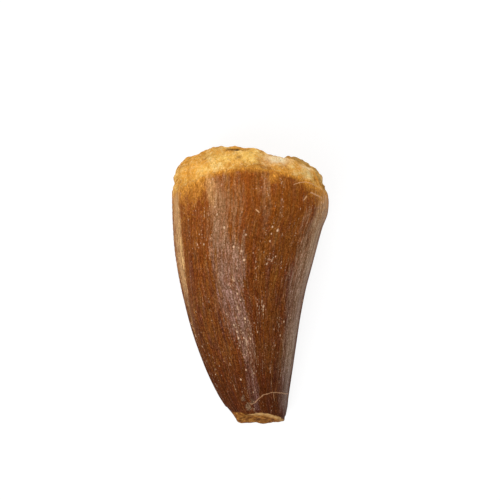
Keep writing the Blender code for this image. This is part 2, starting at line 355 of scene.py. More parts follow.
def margin(line):
    """The station where enamel gives way to bone, on this line."""
    up = np.sin(np.radians(line))
    on_face = np.where(up > 0, MARGIN_ON_UPPER_FACE, MARGIN_ON_LOWER_FACE)
    return MARGIN_AT_RIDGES + (on_face - MARGIN_AT_RIDGES) * np.abs(up) ** MARGIN_POWER


def smooth_form(line, step):
    """The tooth without lumps: its points, and each one's share of the way out from the middle."""
    end = around_end(line, *TIP_END)
    base_power = DOME_POWER - DOME_POWER_TO_LEFT * np.cos(np.radians(line))
    base_out, base_up = dome(np.clip(step / BASE_STEPS, 0.0, 1.0), base_power)
    tip_out, tip_up = dome(np.clip((STEPS - step) / TIP_STEPS, 0.0, 1.0), TIP_POWER)
    on_base = step < BASE_STEPS
    on_tip = step > BASE_STEPS + CROWN_STEPS
    down_crown = SHOULDER + (end - SHOULDER) * (step - BASE_STEPS) / CROWN_STEPS
    on_cap = TIP_MIDDLE + (end - TIP_MIDDLE) * tip_out - TIP_BULGE * tip_up
    station = np.select([on_base, on_tip], [np.full_like(line, SHOULDER), on_cap], down_crown)
    out = np.select([on_base, on_tip], [base_out, tip_out], 1.0)
    rim_x, rim_z = section_point(line, station)
    middle_x, middle_z = middle_of_section(station)
    x = middle_x + out * (rim_x - middle_x)
    z = middle_z + out * (rim_z - middle_z)
    height = DOME_HEIGHT - sum(down * smooth_step(start, full, x) for start, full, down in DOME_STEPS)
    dish = PULP_DEPTH * smooth_step(PULP_SHARE, PULP_FLOOR, out)
    y = np.where(on_base, SHOULDER + height * base_up - dish, station)
    return np.stack([x, y, z], axis=1), out


def noise_at(points, size):
    return np.array([noise.noise(point) for point in (points / size).tolist()])


def lumps(points, sizes_and_heights):
    return sum(height * noise_at(points, size) for size, height in sizes_and_heights)


def grid():
    """Lines and steps of every vertex, the quads and end triangles, and the corners' (line, step)."""
    rings = np.arange(1, STEPS)
    line = np.concatenate([[0.0], np.tile(np.arange(LINES) * 360.0 / LINES, len(rings)), [0.0]])
    step = np.concatenate([[0.0], np.repeat(rings, LINES), [STEPS]]).astype(float)
    faces, corners = [], []
    last = len(line) - 1
    for j in range(LINES):
        after = (j + 1) % LINES
        faces.append((0, 1 + after, 1 + j))
        corners.append(((j + 0.5, 0), (j + 1, 1), (j, 1)))
        for ring in range(len(rings) - 1):
            a, b = 1 + ring * LINES, 1 + (ring + 1) * LINES
            faces.append((a + j, a + after, b + after, b + j))
            corners.append(((j, ring + 1), (j + 1, ring + 1), (j + 1, ring + 2), (j, ring + 2)))
        a = 1 + (len(rings) - 1) * LINES
        faces.append((a + j, a + after, last))
        corners.append(((j, STEPS - 1), (j + 1, STEPS - 1), (j + 0.5, STEPS)))
    return line, step, faces, corners


def along_meridian(points):
    """How far the surface runs from the middle of the base to each step, averaged over the lines."""
    rings = points[1:-1].reshape(STEPS - 1, LINES, 3)
    ends = [np.broadcast_to(point, (1, LINES, 3)) for point in (points[0], points[-1])]
    rings = np.concatenate([ends[0], rings, ends[1]])
    runs = np.linalg.norm(np.diff(rings, axis=0), axis=2).mean(axis=1)
    return np.concatenate([[0.0], np.cumsum(runs)])


def lay_flat(mesh, points, corners):
    """Give the mesh the flat map that its colours are baked on. The band's seam is underneath."""
    run = along_meridian(points)
    tip_start = BASE_STEPS + CROWN_STEPS
    band_share = (run - run[FLAT_BASE_STEPS]) / (run[tip_start] - run[FLAT_BASE_STEPS])
    base_share = run / run[FLAT_BASE_STEPS]
    tip_share = (run[-1] - run) / (run[-1] - run[tip_start])
    flat = []
    for face in corners:
        first_line = math.floor(face[-1][0])
        seam_shift = (first_line + LINES // 4) % LINES - first_line
        steps = [step for _, step in face]
        for line, step in face:
            if FLAT_BASE_STEPS <= min(steps) and max(steps) <= tip_start:
                height = BAND_FOOT + (1 - BAND_FOOT) * band_share[step]
                flat.append(((line + seam_shift) / LINES, height))
                continue
            on_base = max(steps) <= FLAT_BASE_STEPS
            x, y, radius = BASE_DISC if on_base else TIP_DISC
            reach = radius * (base_share if on_base else tip_share)[step]
            angle = 2 * math.pi * line / LINES
            flat.append((x + reach * math.cos(angle), y + reach * math.sin(angle)))
    mesh.uv_layers.new(name="OFBake").data.foreach_set("uv", np.array(flat).ravel())


def vertex_normals(mesh):
    normals = np.empty(len(mesh.vertices) * 3)
    mesh.vertex_normals.foreach_get("vector", normals)
    return normals.reshape(-1, 3)


def signed_gap(points, path):
    """How far each point is from this open path, less than 0 on its right, and whether it is beside it."""
    gap = np.full(len(points), np.inf)
    beside = np.zeros(len(points), dtype=bool)
    for i, (start, end) in enumerate(zip(path[:-1], path[1:])):
        start, run = np.array(start), np.subtract(end, start)
        length = math.hypot(*run)
        from_start = points - start
        share = from_start @ run / length**2
        nearest = from_start - np.clip(share, 0.0, 1.0)[:, None] * run
        side = run[0] * from_start[:, 1] - run[1] * from_start[:, 0]
        distance = np.copysign(np.hypot(*nearest.T), side)
        inside = ((share >= 0) | (i > 0)) & ((share <= 1) | (i < len(path) - 2))
        closer = np.abs(distance) < np.abs(gap)
        gap = np.where(closer, distance, gap)
        beside = np.where(closer, inside, beside)
    return gap, beside


def line_values(name, plan, on_upper_face, lines):
    """The signed gap to the nearest fine line in units of half its width, and how near any line is."""
    gap, nearness = np.full(len(plan), NO_LINE_GAP), np.zeros(len(plan))
    closest = np.full(len(plan), np.inf)
    for path, half_width in lines:
        distance, beside = signed_gap(plan, path)
        closer = (np.abs(distance) < closest) & on_upper_face
        closest = np.where(closer, np.abs(distance), closest)
        gap = np.where(closer, distance / half_width, gap)
        near = smooth_step(*LINE_REACH, np.abs(distance)) * beside
        nearness = np.where(closer, near, nearness)
    return {name + "_gap": gap, name + "_near": nearness}


def patches(points, table):
    """Soft round patches on the upper face: 1 in the middle of each full one, 0 away from them."""
    total = np.zeros(len(points))
    for across, along, half_width, half_length, strength in table:
        aside = ((points[:, 0] - across) / half_width) ** 2 + ((points[:, 1] - along) / half_length) ** 2
        height = points[aside < aside.min() + PATCH_MIDDLE, 2].max()
        below = (points[:, 2] - height) / (half_width + half_length)
        total = np.maximum(total, strength * np.exp(-aside - below**2))
    return total


def around(line, station):
    """Coordinates for noise that follows the lines of the tooth, drawn out lengthwise."""
    angle = np.radians(line)
    return np.stack(
        [ROUND_RADIUS * np.cos(angle), ROUND_RADIUS * np.sin(angle), station / DRAWN_OUT], axis=1
    )


def slit_depth(points):
    """1 in the dark slit across the top of the broken base, 0 away from it."""
    aside, along = ((points[:, :2] - SLIT_AT) / SLIT_HALF_SIZE).T
    return np.exp(-(aside**4) - along**2) * (points[:, 2] > SLIT_ABOVE)


def knob_share(points):
    """1 in the middle of the small knob on the bone's right edge, 0 away from it."""
    return np.exp(-np.sum((points - KNOB_AT) ** 2, axis=1) / KNOB_RADIUS**2)


def notch_share(line, points):
    """1 in the middle of a full notch of the left ridge, 0 away from the notches."""
    station = points[:, 1]
    ridge = np.exp(-np.abs(degrees_apart(line, 180.0)) / NOTCH_REACH)
    mean, swing, size = NOTCH_UNEVENNESS
    kept = smooth_step(*NOTCH_START, station) * (mean + swing * noise_at(points, size))
    return ridge * kept * (0.5 + 0.5 * np.cos(2 * math.pi * station / NOTCH_SPACING))


def measures(line, out, points, smooth, normals):
    """What the limits of the tones are counted by, on each point of the finished surface."""
    station, turn = points[:, 1], degrees_apart(line, 0.0)
    return {
        "line": line,
        "turn": turn,
        "station": station,
        "out": out,
        "across": points[:, 0],
        "across_form": smooth[:, 0],
        "flatness": np.abs(normals[:, 2]),
        "past_worn_end": station - around_end(line, *WORN_END),
        "from_right_ridge": np.abs(turn),
        "from_left_ridge": np.abs(degrees_apart(line, 180.0)),
        "left_of_right_border": line - curve(MIDDLE_SHEEN_RIGHT_BORDER, station),
        "left_of_left_border": line - curve(MIDDLE_SHEEN_LEFT_BORDER, station),
        "past_left_wear_and_highlight": line - curve(LEFT_WEAR_AND_HIGHLIGHT_BORDER, station),
        "across_right_sheen": turn / curve(RIGHT_SHEEN_BORDER, station),
    }


def tones(measured):
    """How full each tone is on each point, 0 to 1."""
    tone = {}
    for name, limits in TONES.items():
        tone[name] = math.prod(smooth_step(start, full, measured[what]) for what, start, full in limits)
    line = measured["line"]
    for name, part, loss in LOSSES:
        tone[name] *= 1 - loss * tone[part]
    second = SECOND_SHEEN_SHARE * hump(*SECOND_SHEEN, line) * tone["second_middle_sheen"]
    tone["middle_sheen"] = np.maximum(np.maximum(tone["middle_sheen"], second), UNDERSIDE_SHEEN_SHARE * tone["underside_sheen"])
    middle, top = LEFT_WEAR_AND_HIGHLIGHT_SHARES
    tone["left_wear_and_highlight"] *= middle * tone["left_wear_and_highlight_middle"] + top * tone["left_wear_and_highlight_top"]
    tone["left_highlight_line"] *= hump(*LEFT_HIGHLIGHT_LINE, line)
    tone["ridge"] = np.maximum(tone["right_ridge"], tone["left_ridge"])
    to_sides = np.maximum(*[reach * smooth_step(*side, line) for side, reach in GOLDEN_SIDES])
    below = np.maximum(margin(line) - measured["station"] + GOLDEN_RAISED, 0.0)
    tone["golden"] = np.exp(-below / (GOLDEN_LEAST_REACH + to_sides))
    return tone


def store(mesh, kind, field, table):
    for name, values in table.items():
        mesh.attributes.new(name, kind, "POINT").data.foreach_set(field, values.ravel())


def shares(line, step, smooth):
    """How much of each substance and mark is on each point, 0 to 1."""
    station = smooth[:, 1]
    bone = smooth_step(-MARGIN_FADE, MARGIN_FADE, station - margin(line))
    worn = smooth_step(WORN_FADE, -WORN_FADE, station - around_end(line, *WORN_END))
    enamel = (1 - bone) * (1 - worn)
    return {
        "bone": bone,
        "worn": worn,
        "enamel": enamel,
        "tip": smooth_step(0.0, TIP_FADE, (step - BASE_STEPS - CROWN_STEPS) / TIP_STEPS),
        "slit": bone * slit_depth(smooth),
        "knob": knob_share(smooth),
        "notch": enamel * notch_share(line, smooth),
    }


def relief(line, smooth, share, rough):
    """How far the finished surface lies above the smooth form, in millimetres."""
    height = share["bone"] * (rough - CRUST_WORN) - share["slit"] * SLIT_DEPTH + KNOB_HEIGHT * share["knob"]
    height += share["tip"] * lumps(smooth, TIP_LUMPS + TIP_GRAIN)
    height += share["enamel"] * lumps(around(line, smooth[:, 1]), STRIAE)
    height -= share["worn"] * (1 - share["tip"]) * ENAMEL_STEP + share["notch"] * NOTCH_DEPTH
    return height


def stored_values(step, smooth, rough, share, measured):
    """What the materials need to know on each point."""
    tone = tones(measured)
    values = {
        "bone": share["bone"],
        "slit": share["slit"],
        "notch": share["notch"],
        # Painted light on the bone's lumps and painted shade in its hollows.
        "relief_painted_shade": rough * RELIEF_PAINTED_SHADE,
        "core": np.where(step < BASE_STEPS, 1 - measured["out"], 0.0),
        # Browned stains and the knob, with painted shade on the steep crust.
        "olive_stain_and_shade": np.maximum(tone["steep_crust_painted_shade"], np.maximum(share["knob"], patches(smooth, BROWNED))),
        "broken": -measured["past_worn_end"],
        "cream": (1 - share["bone"]) * tone["cream"],
        "station": measured["station"],
        "right_side": tone["right_side"],
        "left_low": tone["left_low"],
        "golden": np.maximum(tone["golden"] * (1 - share["tip"]), patches(smooth, GOLDEN)),
    }
    for name in ("middle_sheen", "left_wear_and_highlight", "left_highlight_line", "right_sheen", "ridge"):
        values[name] = share["enamel"] * tone[name]
    for name, table in PATCHES.items():
        values[name] = patches(smooth, table)
    for name, lines in (("line", FINE_LINES), ("branch", BRANCH_LINES)):
        values.update(line_values(name, smooth[:, :2], measured["line"] < 180.0, lines))
    return values


def noise_fields(line, station, out):
    """Coordinates for noise that is drawn out along the tooth, or runs in rings across its tip."""
    angle = np.radians(line)
    rings = np.stack([out * TIP_RINGS, np.cos(angle), np.sin(angle)], axis=1)
    return {"streak": around(line, station), "rings": rings}


def tooth_mesh():
    """The tooth's surface with its relief, and what the materials need to know on each point."""
    line, step, faces, corners = grid()
    smooth, out = smooth_form(line, step)
    mesh = bpy.data.meshes.new("tooth_surface")
    mesh.from_pydata(smooth.tolist(), [], faces)
    normals = vertex_normals(mesh)
    share = shares(line, step, smooth)
    rough = lumps(smooth, BONE_LUMPS + SAND_LUMPS)
    points = smooth + normals * relief(line, smooth, share, rough)[:, None]
    points[:, 2] = np.maximum(points[:, 2], 0.0)
    points += (*CENTRING, 0.0)
    mesh.vertices.foreach_set("co", (points * MM).ravel())
    mesh.update()
    mesh.shade_smooth()
    lay_flat(mesh, smooth, corners)
    measured = measures(line, out, points, smooth, normals)
    store(mesh, "FLOAT", "value", stored_values(step, smooth, rough, share, measured))
    store(mesh, "FLOAT_VECTOR", "vector", noise_fields(line, measured["station"], out))
    return mesh


def srgb(red, green, blue):
    """A colour given by its 8-bit screen values, as the linear one that shaders take."""
    values = []
    for level in (red, green, blue):
        level /= 255
        values.append(level / 12.92 if level <= 0.04045 else ((level + 0.055) / 1.055) ** 2.4)
    return (*values, 1.0)


# Below, a fit turns one range into another: (low, high, result at low, result at high), or (low, high) alone
# where the results are 0 and 1. A noise is (field that it is drawn in, size in millimetres, detail,
# roughness). A texture is a noise with its fit.

# The enamel's brown, and soft tints over it: (size of the noise, where a tint starts and is full, its share
# and colour). All have noise of the same detail and roughness, and are fainter near the margin.
ENAMEL_BROWN = srgb(144, 76, 24)
ENAMEL_TINTS = (
    (2.6, 0.5, 0.68, 0.5, srgb(150, 96, 34)),
    (1.6, 0.48, 0.66, 0.5, srgb(126, 58, 18)),
    (0.7, 0.48, 0.62, 0.4, srgb(128, 84, 38)),
    (0.45, 0.52, 0.64, 0.4, srgb(162, 106, 44)),
    (1.2, 0.54, 0.66, 0.65, srgb(112, 60, 50)),
    (0.3, 0.5, 0.66, 0.5, srgb(172, 120, 56)),
    (0.36, 0.5, 0.66, 0.5, srgb(104, 60, 52)),
)
TINT_NOISE = (3.0, 0.6)
TINT_FULLNESS = (12.0, -3.0, 0.6, 1.0)
# What the brown is multiplied by: painted light on the left, painted shade on the right and low on the left.
PAINTED_SIDE_LIGHT_AND_SHADE = ((1.03, 0.93, 0.8, 1.0), (0.92, 0.82, 0.74, 1.0))
LEFT_LOW_PAINTED_SHADE = (0.86, 0.74, 0.45, 1.0)
# A painted reflection of the key light down the middle of the upper face, with a fainter copy underneath.
# The painted sheen: the threads that fray it, how full it gets, and its colour low down and at the margin.
MIDDLE_SHEEN_THREADS = ("streak", 0.38, 4.0, 0.75, 0.35, 0.65, -0.8, 0.33)
MIDDLE_SHEEN_FIT = (0.2, 1.02, 0.0, 0.92)
MIDDLE_SHEEN_RISE = (4.0, 14.0)
MIDDLE_SHEEN_COLOURS = (srgb(168, 124, 96), srgb(168, 122, 84))
# The greyish painted sheen on the right: its threads, dull and bright, each with its colour above and at the
# tip.
RIGHT_SHEEN_NOISE = ("streak", 0.45, 4.0, 0.75)
RIGHT_SHEEN_FRAYING = (0.36, 0.62, -0.4, 0.16)
RIGHT_SHEEN_FIT = (0.1, 1.0)
RIGHT_SHEEN_TOWARDS_TIP = (-4.0, -18.0)
RIGHT_SHEEN_COLOURS = (
    (srgb(176, 134, 94), srgb(204, 174, 134)),
    (srgb(208, 166, 128), srgb(238, 208, 166)),
)
RIGHT_SHEEN_BRIGHTNESS = (0.4, 0.62)
# How light the enamel is, by the share of the way from its margin to the tip.
ENAMEL_LENGTH = (17.0, -19.0)
ENAMEL_SHADES = (
    (0.0, (0.95, 1.0, 1.0, 1.0)), (0.11, (0.83, 0.85, 0.82, 1.0)), (0.25, (0.67, 0.69, 0.68, 1.0)),
    (0.35, (0.62, 0.64, 0.67, 1.0)), (0.45, (0.56, 0.58, 0.66, 1.0)), (0.55, (0.5, 0.5, 0.58, 1.0)),
    (0.75, (0.42, 0.4, 0.42, 1.0)), (0.85, (0.32, 0.28, 0.33, 1.0)), (1.0, (0.275, 0.235, 0.3, 1.0)),
)
# Ragged stains and painted highlights: (stored value, noise that frays it, how far it is frayed, colour).
ENAMEL_STAINS = (
    ("golden", ("place", 0.9, 5.0, 0.7), -0.35, srgb(200, 134, 48)),
    ("tanned", ("short", 0.6, 5.0, 0.75), -0.4, srgb(196, 146, 90)),
    # Worn enamel with a painted highlight along the left edge.
    ("left_wear_and_highlight", ("short", 0.6, 5.0, 0.8), -0.75, srgb(192, 145, 90)),
    # A painted highlight line at the left strip's inner edge.
    ("left_highlight_line", ("short", 0.6, 3.0, 0.7), -0.6, srgb(214, 168, 104)),
)
STAIN_FRAYING = (0.36, 0.62)
STAIN_GAIN = 0.05
# Painted shade along the ridges.
RIDGE_PAINTED_SHADE = srgb(70, 40, 20)
RIDGE_PAINTED_SHADE_SHARE = 0.3
# The fine detail of the enamel: (noise, greatest contrast). It is weaker near the margin.
ENAMEL_DETAILS = (
    (("streak", 0.18, 2.0, 0.6), 10.0),
    (("short", 0.17, 2.0, 0.6), 22.0),
    (("place", 0.17, 1.0, 0.6), 12.0),
)
DETAIL_GROWTH = (13.0, -2.0)
DETAIL_AT_MARGIN = 0.35
# How strongly the fine detail works on each channel: its light specks are dusty and its dark ones redder.
DETAIL_KEENNESS = {"Red": 0.86, "Green": 1.0, "Blue": 1.3}

# Pale flecks: (field, spacing of the cells, largest radius as a share of a cell). In a cell, the smallest
# radius, the soft edge and the faintest fleck are shares of the largest.
DUST = ("squat", 0.6, 0.2)
DUST_WANTED = 0.5
DUST_STRENGTH = 0.45
CLUSTER = ("dashes", 0.32, 0.5)
CLUSTER_WANTED = (0.0, 1.3, 0.015, 0.9)
SMALLEST_FLECK = 0.3
FLECK_EDGE = 0.4
FAINTEST_FLECK = 0.15
# Where flecks run together: two noises added up, lifted by the clusters.
WORN_NOISES = (("squat", 0.25, 3.0, 0.7), ("streak", 0.4, 2.0, 0.7))
WORN_LIFT = 0.12
WORN_FIT = (1.2, 1.34, 0.0, 0.5)
FLECK_COLOUR = srgb(224, 186, 150)

# The fine lines: how noise varies their width and makes them wobble, both in half widths, their soft edge,
# and their strength and colour near the tip and near the margin.
LINE_WIDTHS = ("place", 0.5, 2.0, 0.5, 0.3, 0.7, 0.6, 1.3)
LINE_WOBBLE = ("place", 0.35, 2.0, 0.5, 0.3, 0.7, -0.7, 0.7)
LINE_EDGE = (-0.4, 0.4)
LINE_RISE = (-14.0, 10.0)
LINE_STRENGTHS = (0.55, 0.8)
LINE_COLOURS = (srgb(204, 158, 117), srgb(216, 166, 120))
# Chips near the tip, and the painted shade in the notches of the left ridge.
CHIP_NOISE = ("place", 0.3, 2.0, 0.5)
CHIP_FIT = (0.9, 1.15, 0.0, 0.7)
CHIP_GRIT_NOISE = ("place", 0.22, 1.0, 0.5)
CHIP_GRIT = ((0.35, srgb(50, 32, 20)), (0.65, srgb(146, 116, 88)))
NOTCH_FIT = (0.2, 0.6, 0.0, 0.45)
NOTCH_PAINTED_SHADE = srgb(84, 52, 26)

# The bone: mottling, a warm tint, stains by stored value, pits of painted shade, and paler and darker
# grains.
BONE_NOISE = ("place", 1.4, 4.0, 0.65)
BONE_COLOURS = (
    (0.3, srgb(152, 97, 36)), (0.42, srgb(201, 141, 58)), (0.55, srgb(223, 171, 85)),
    (0.68, srgb(242, 212, 144)),
)
BONE_WARMTH = ("place", 2.2, 3.0, 0.5, 0.46, 0.62, 0.0, 0.6)
BONE_WARM = srgb(222, 150, 56)
BONE_STAINS = (
    ("orange", srgb(228, 158, 62)), ("yellow", srgb(246, 200, 104)), ("whitish", srgb(246, 234, 196)),
    # Olive stain, and painted shade on the bone's steep right side.
    ("olive_stain_and_shade", srgb(146, 108, 50)),
)
BONE_STAIN_FRAYING = ("place", 0.7, 3.0, 0.5, 0.3, 0.6, 0.4, 1.0)
# Small pits painted as shade, with no hollow in the mesh.
SHADED_PITS_PER_MM = 1.5
PIT_SHADE_FIT = (0.08, 0.22, 0.68, 1.0)
GRAIN_NOISE = ("place", 0.5, 3.0, 0.8)
GRAINS = (((0.52, 0.66, 0.0, 0.5), srgb(246, 214, 152)), ((0.46, 0.34, 0.0, 0.5), srgb(198, 128, 48)))
BONE_SAND = ("place", 0.15, 2.0, 0.7, 0.32, 0.68, 0.74, 1.2)
SLIT_FRAYING = ("place", 0.5, 4.0, 0.7, 0.3, 0.7, -0.35, 0.35)
SLIT_FIT = (0.3, 0.7)
# The slit's dark colour is painted shade in the gap.
SLIT_PAINTED_SHADE = srgb(92, 62, 32)

# The middle of the broken base: a patchy ring of dentine around the sand of the filled pulp cavity.
CORE_FRAYING = ("place", 2.4, 5.0, 0.7, 0.3, 0.7, -0.16, 0.16)
RING_NOISE = ("place", 0.7, 5.0, 0.75)
RING_COLOURS = ((0.32, srgb(110, 68, 28)), (0.5, srgb(162, 108, 48)), (0.66, srgb(214, 158, 84)))
RING_WEAR = ("place", 1.1, 4.0, 0.7, 0.4, 0.55, 1.0, 0.45)
RING_FIT = (0.38, 0.5)
FILLING_NOISE = ("place", 1.0, 6.0, 0.85)
FILLING_COLOURS = (
    (0.32, srgb(140, 96, 50)), (0.44, srgb(190, 146, 86)), (0.55, srgb(216, 178, 118)),
    (0.68, srgb(236, 210, 160)),
)
FILLING_GRAIN = ("place", 0.22, 2.0, 0.7, 0.32, 0.68, 0.7, 1.2)
FILLING_FIT = (0.5, 0.6)

# The dentine of the broken tip: mottling, fine grain, faint rings and a cream rim.
DENTINE_NOISE = ("place", 0.8, 6.0, 0.8)
DENTINE_COLOURS = (
    (0.34, srgb(72, 40, 16)), (0.45, srgb(110, 66, 29)), (0.55, srgb(146, 95, 41)),
    (0.66, srgb(192, 142, 74)),
)
DENTINE_SHADES = (
    ("place", 0.16, 2.0, 0.7, 0.32, 0.68, 0.72, 1.22),
    ("rings", 0.6, 2.0, 0.5, 0.35, 0.65, 0.75, 1.15),
)
CREAM_FRAYING = ("place", 0.5, 2.0, 0.5, 0.3, 0.6, 0.3, 1.0)
CREAM = srgb(192, 152, 98)

# The ragged borders of enamel with bone and with the broken tip.
BONE_FRAYING = ("place", 0.8, 5.0, 0.75, 0.25, 0.75, -0.4, 0.4)
BONE_BORDER = (0.4, 0.82)
TIP_FRAYING = ("place", 1.0, 2.0, 0.5, 0.3, 0.7, -0.16, 0.16)
TIP_BORDER = (-0.06, 0.06)

# Roughness of enamel and bone, and what is added low on the left, on the broken tip, by noise and by flecks.
ROUGHNESS = (0.5, 0.9)
LEFT_LOW_ROUGHNESS = 0.4
TIP_ROUGHNESS = (-0.05, 0.05, 0.0, 0.4)
UNEVEN_ROUGHNESS = ("streak", 0.6, 2.0, 0.5, 0.3, 0.7, -0.07, 0.07)
FLECK_ROUGHNESS = 0.2
SPECULAR = 0.02
# The finest relief, below what the mesh can follow: its noises, the bone's own grit and how strong that is,
# and the strength and height of it all, in metres.
FINEST_NOISES = (("place", 0.2, 2.0, 0.7), ("short", 0.2, 2.0, 0.6))
BONE_GRIT_NOISE = ("place", 0.3, 3.0, 0.8)
BONE_GRITTINESS = 4.0
BUMP_STRENGTH = 0.5
BUMP_HEIGHT = 0.05 * MM

# The studio, in metres: a glowing pale floor, light from all round that is stronger near the horizon, and
# two soft boxes, each as (name, direction, distance, size across and along, radiance).
FLOOR_HALF = 3.0
FLOOR_GREY = (0.15, 0.15, 0.15, 1.0)
WHITE = (1.0, 1.0, 1.0, 1.0)
FLOOR_GLOW = 0.88
SKY_FADE = {"From Min": 0.1, "From Max": 0.55, "To Min": 0.5, "To Max": 0.12}
LIGHTS = (
    ("key", (-0.38, -0.42, 0.85), 0.5, (0.26, 0.56), 5.6),
    ("fill", (0.15, 0.8, 0.6), 0.5, (0.5, 0.4), 2.6),
)
CAMERA_AT = (-0.00006, 0.0057, 0.259)
CAMERA_LENS = 120.0
CAMERA_SENSOR = 36.0
CAMERA_NEAR = 0.01


class Shading:
    """The node tree of one material, built up by short calls."""

    def __init__(self, name):
        self.material = bpy.data.materials.new(name)
        self.material.use_nodes = True
        self.tree = self.material.node_tree
        self.fields = {}

    def finished(self, inputs):
        """The material, with these inputs of its shader."""
        for socket, value in inputs.items():
            self.put(self.tree.nodes["Principled BSDF"], socket, value)
        return self.material

    def put(self, node, socket, value):
        if isinstance(value, bpy.types.NodeSocket):
            self.tree.links.new(value, node.inputs[socket])
        else:
            node.inputs[socket].default_value = value

    def node(self, kind, inputs=(), **settings):
        node = self.tree.nodes.new("ShaderNode" + kind)
        for name, value in settings.items():
            setattr(node, name, value)
        for socket, value in dict(inputs).items():
            self.put(node, socket, value)
        return node

    def stored(self, name, output="Fac"):
        return self.node("Attribute", attribute_name=name).outputs[output]

    def noise(self, field, size, detail, roughness):
        inputs = {"Vector": self.fields[field], "Scale": 1 / size, "Detail": detail, "Roughness": roughness}
        return self.node("TexNoise", inputs).outputs["Fac"]

    def scaled(self, vector, factors):
        node = self.node("VectorMath", {0: vector, 1: factors}, operation="MULTIPLY")
        return node.outputs[0]

    def fit(self, value, low, high, new_low=0.0, new_high=1.0):
        inputs = {"Value": value, "From Min": low, "From Max": high, "To Min": new_low, "To Max": new_high}
        return self.node("MapRange", inputs).outputs["Result"]

    def texture(self, field, size, detail, roughness, *fit):
        return self.fit(self.noise(field, size, detail, roughness), *fit)

    def along(self, *fit):
        """A value by station along the tooth."""
        return self.fit(self.stored("station"), *fit)

    def calculate(self, operation, one, other):
        return self.node("Math", {0: one, 1: other}, operation=operation).outputs[0]

    def add(self, one, other):
        return self.calculate("ADD", one, other)

    def times(self, one, other):
        return self.calculate("MULTIPLY", one, other)

    def mix(self, share, one, other, blend="MIX"):
        node = self.node("Mix", data_type="RGBA", blend_type=blend)
        for socket, value in ((0, share), (6, one), (7, other)):
            self.put(node, socket, value)
        return node.outputs[2]

    def shaded(self, colour, factor):
        return self.mix(1.0, colour, factor, "MULTIPLY")

    def ramp(self, value, stops):
        node = self.node("ValToRGB", {"Fac": value})
        elements = node.color_ramp.elements
        elements[0].position, elements[-1].position = stops[0][0], stops[-1][0]
        elements[0].color, elements[-1].color = stops[0][1], stops[-1][1]
        for place, colour in stops[1:-1]:
            elements.new(place).color = colour
        return node.outputs["Color"]


def add_fields(make):
    """The fields that noise is drawn in."""
    object_place = make.node("TexCoord").outputs["Object"]
    make.fields["place"] = make.scaled(object_place, (1 / MM, 1 / MM, 1 / MM))
    make.fields["rings"] = make.stored("rings", "Vector")
    make.fields["streak"] = make.stored("streak", "Vector")
    for name, factor in SHORTENED.items():
        make.fields[name] = make.scaled(make.fields["streak"], (1.0, 1.0, factor))


def brown_enamel(make, fullness):
    """Brown with soft tints, painted light on the left and painted shade on the right and low on the left.
    """
    colour = ENAMEL_BROWN
    for size, low, high, share, tint in ENAMEL_TINTS:
        amount = make.fit(make.noise("streak", size, *TINT_NOISE), low, high, 0.0, share)
        colour = make.mix(make.times(amount, fullness), colour, tint)
    side = make.mix(make.stored("right_side"), *PAINTED_SIDE_LIGHT_AND_SHADE)
    side = make.mix(make.stored("left_low"), side, LEFT_LOW_PAINTED_SHADE)
    return make.shaded(colour, side)


# Painted sheen: the key light's reflection down the upper face, laid into the enamel's colour.
def with_middle_sheen(make, colour, fullness):
    ragged = make.times(make.texture(*MIDDLE_SHEEN_THREADS), fullness)
    middle_sheen = make.fit(make.add(make.stored("middle_sheen"), ragged), *MIDDLE_SHEEN_FIT)
    milky = make.mix(make.along(*MIDDLE_SHEEN_RISE), *MIDDLE_SHEEN_COLOURS)
    return make.mix(middle_sheen, colour, milky)


# Painted sheen along the right edge: the floor's reflection laid into the colour.
def with_right_sheen(make, colour):
    threads = make.noise(*RIGHT_SHEEN_NOISE)
    ragged = make.fit(threads, *RIGHT_SHEEN_FRAYING)
    strip = make.fit(make.add(make.stored("right_sheen"), ragged), *RIGHT_SHEEN_FIT)
    towards_tip = make.along(*RIGHT_SHEEN_TOWARDS_TIP)
    dull, bright = [make.mix(towards_tip, *colours) for colours in RIGHT_SHEEN_COLOURS]
    return make.mix(strip, colour, make.mix(make.fit(threads, *RIGHT_SHEEN_BRIGHTNESS), dull, bright))


def with_stains_highlights_and_shade(make, colour):
    for name, frayed_by, lowest, tint in ENAMEL_STAINS:
        ragged = make.fit(make.noise(*frayed_by), *STAIN_FRAYING, lowest, STAIN_GAIN)
        share = make.fit(make.add(make.stored(name), ragged), STAIN_GAIN, 1.0)
        colour = make.mix(share, colour, tint)
    return make.mix(make.times(make.stored("ridge"), RIDGE_PAINTED_SHADE_SHARE), colour, RIDGE_PAINTED_SHADE)


def with_fine_detail(make, colour):
    """A fine grain that lightens and darkens the colour, each channel by a power of its own."""
    for kind, most in ENAMEL_DETAILS:
        detail = make.noise(*kind)
        contrast = make.along(*DETAIL_GROWTH, most * DETAIL_AT_MARGIN, most)
        strengths = {}
        for channel, keenness in DETAIL_KEENNESS.items():
            exponent = make.fit(detail, 0.0, 1.0, -0.5 * keenness, 0.5 * keenness)
            strengths[channel] = make.calculate("POWER", contrast, exponent)
        strength = make.node("CombineColor", strengths).outputs["Color"]
        colour = make.shaded(colour, strength)
    return colour


def enamel_colour(make):
    """Brown enamel: tints, painted sheen, highlights and shade, pale strips, darker to the tip, fine grain.
    """
    fullness = make.along(*TINT_FULLNESS)
    colour = brown_enamel(make, fullness)
    colour = with_middle_sheen(make, colour, fullness)
    colour = with_right_sheen(make, colour)
    colour = make.shaded(colour, make.ramp(make.along(*ENAMEL_LENGTH), ENAMEL_SHADES))
    colour = with_stains_highlights_and_shade(make, colour)
    return with_fine_detail(make, colour)


